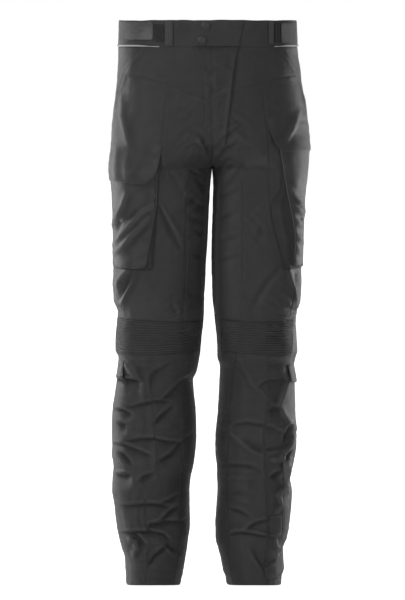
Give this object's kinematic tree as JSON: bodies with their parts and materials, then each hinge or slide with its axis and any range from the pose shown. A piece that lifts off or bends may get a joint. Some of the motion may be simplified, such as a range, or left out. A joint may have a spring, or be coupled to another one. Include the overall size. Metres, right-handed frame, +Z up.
{
  "type": "motorcycle trousers",
  "caption": "Textile motorcycle trousers in worn shape with no wearer, with ribbed stretch knees, cargo pockets, hook and loop waist adjusters and a fly closed by press studs.",
  "frame": {"origin": "in the middle of the waistband's hollow, at mid height of the band, where the wearer's waist holds the garment", "axes": "+Z up towards the waist opening, -Y out of the garment's front, +X towards the wearer's left leg"},
  "size_m": [0.4006, 0.2693, 1.1049],
  "materials": {
    "shell": "hard-wearing woven shell cloth, charcoal black",
    "stretch": "stretch cloth, black",
    "ribbed": "ribbed stretch cloth over the knee, black",
    "band": "waistband cloth, charcoal black",
    "tab": "hook and loop tab, grey",
    "tape": "woven tape, black",
    "reflective": "light reflective piping and strip",
    "stud": "dark coated press stud"
  },
  "bodies": {
    "root": {"yoke_R": "shell", "side_hip_R": "shell", "front_thigh_R": "shell", "side_thigh_R": "shell", "back_upper_R": "shell", "shin_front_R": "shell", "shin_outer_R": "shell", "back_lower_R": "shell", "pocket_face_R": "shell", "pocket_gusset_R": "shell", "pocket_flap_R": "shell", "waist_keeper_R": "shell", "calf_strap_R": "shell", "yoke_L": "shell", "side_hip_L": "shell", "front_thigh_L": "shell", "side_thigh_L": "shell", "back_upper_L": "shell", "shin_front_L": "shell", "shin_outer_L": "shell", "back_lower_L": "shell", "pocket_face_L": "shell", "pocket_gusset_L": "shell", "pocket_flap_L": "shell", "waist_keeper_L": "shell", "calf_strap_L": "shell", "fly_cover": "shell", "inner_leg_R": "stretch", "inner_calf_R": "stretch", "inner_leg_L": "stretch", "inner_calf_L": "stretch", "knee_panel_R": "ribbed", "knee_panel_L": "ribbed", "waistband_front_R": "band", "waistband_front_L": "band", "waistband_back": "band", "waist_tab_R": "tab", "waist_tab_L": "tab", "hem_tab_L": "tab", "hem_patch_L": "tab", "waist_tape_R": "tape", "waist_tape_L": "tape", "waist_piping_R": "reflective", "waist_piping_L": "reflective", "side_strip_L": "reflective", "press_stud_upper": "stud", "press_stud_lower": "stud", "pocket_stud_R": "stud", "pocket_stud_L": "stud"}
  },
  "joints": []
}
